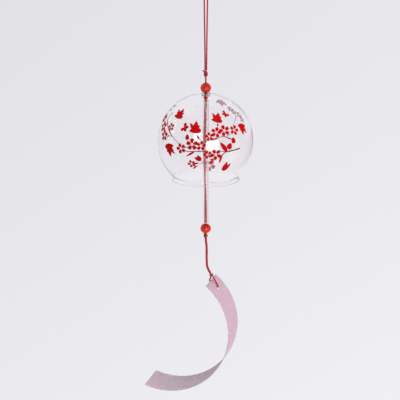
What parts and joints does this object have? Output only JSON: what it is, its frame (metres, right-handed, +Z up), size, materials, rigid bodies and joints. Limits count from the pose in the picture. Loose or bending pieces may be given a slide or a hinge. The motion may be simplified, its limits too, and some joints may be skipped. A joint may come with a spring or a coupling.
{
  "type": "glass wind bell",
  "caption": "Round blown glass wind bell on a doubled red cord, with a glass tube clapper, two red beads and a curled paper strip that catches the wind.",
  "frame": {"origin": "inside top of the hanging loop, where it lies over a hook", "axes": "+Z up along the cord; +X to the right in the front view; +Y away from it"},
  "size_m": [0.0922, 0.08, 0.3518],
  "materials": {
    "red_cord": "twisted cord",
    "red_bead": "glossy",
    "clear_washer": "clear",
    "bell_glass": "clear, fire-polished rims",
    "tube_glass": "clear, fire-polished ends",
    "printed_paper": "smooth printed card"
  },
  "bodies": {
    "hanging_loop": {"hanging_cord": "red_cord"},
    "upper_knot": {"upper_knot": "red_cord"},
    "neck": {"neck_cord": "red_cord", "lower_washer": "clear_washer"},
    "upper_bead": {"upper_bead": "red_bead"},
    "upper_washer": {"upper_washer": "clear_washer"},
    "glass_bell": {"glass_bell": "bell_glass"},
    "stopper_knot": {"stopper_knot": "red_cord"},
    "clapper": {"clapper_cord": "red_cord"},
    "clapper_tube": {"clapper_tube": "tube_glass"},
    "lower_bead": {"lower_bead": "red_bead"},
    "lower_knot": {"lower_knot": "red_cord"},
    "tail": {"tail_cord": "red_cord"},
    "strip": {"strip_lead": "red_cord", "strip_knot": "red_cord", "strip_loop": "red_cord", "paper_strip": "printed_paper"}
  },
  "joints": [
    {"name": "hang_turn", "type": "hinge", "parent": "hanging_loop", "child": "upper_knot", "pos_m": [0, 0, -0.0761], "axis": [0, 0, 1], "continuous": true},
    {"name": "hang_swing", "type": "hinge", "parent": "upper_knot", "child": "neck", "pos_m": [0, 0, -0.08138], "axis": [0, 1, 0], "range_deg": [-30, 30]},
    {"name": "bead_slide", "type": "slide", "parent": "neck", "child": "upper_bead", "axis": [0, 0, 1], "range_m": [0, 0.0037]},
    {"name": "washer_turn", "type": "hinge", "parent": "neck", "child": "upper_washer", "pos_m": [0, 0, -0.0945], "axis": [0, 0, 1], "continuous": true},
    {"name": "bell_turn", "type": "hinge", "parent": "neck", "child": "glass_bell", "pos_m": [0, 0, -0.095], "axis": [0, 0, 1], "continuous": true},
    {"name": "clapper_turn", "type": "hinge", "parent": "neck", "child": "stopper_knot", "pos_m": [0, 0, -0.0975], "axis": [0, 0, 1], "continuous": true},
    {"name": "clapper_swing", "type": "hinge", "parent": "stopper_knot", "child": "clapper", "pos_m": [0, 0, -0.10043], "axis": [0, 1, 0], "range_deg": [-19.4, 19.4]},
    {"name": "tube_turn", "type": "hinge", "parent": "clapper", "child": "clapper_tube", "pos_m": [0, 0, -0.153], "axis": [0, 0, 1], "continuous": true},
    {"name": "lower_bead_turn", "type": "hinge", "parent": "clapper", "child": "lower_bead", "pos_m": [0, 0, -0.2094], "axis": [0, 0, 1], "continuous": true},
    {"name": "tail_turn", "type": "hinge", "parent": "clapper", "child": "lower_knot", "pos_m": [0, 0, -0.2135], "axis": [0, 0, 1], "continuous": true},
    {"name": "tail_swing", "type": "hinge", "parent": "lower_knot", "child": "tail", "pos_m": [0, 0, -0.21796], "axis": [0, 1, 0], "range_deg": [-40, 40]},
    {"name": "strip_swing", "type": "hinge", "parent": "tail", "child": "strip", "pos_m": [0.00115, 0, -0.24191], "axis": [0.2385, 0.9711, 0], "range_deg": [-35, 35]}
  ]
}
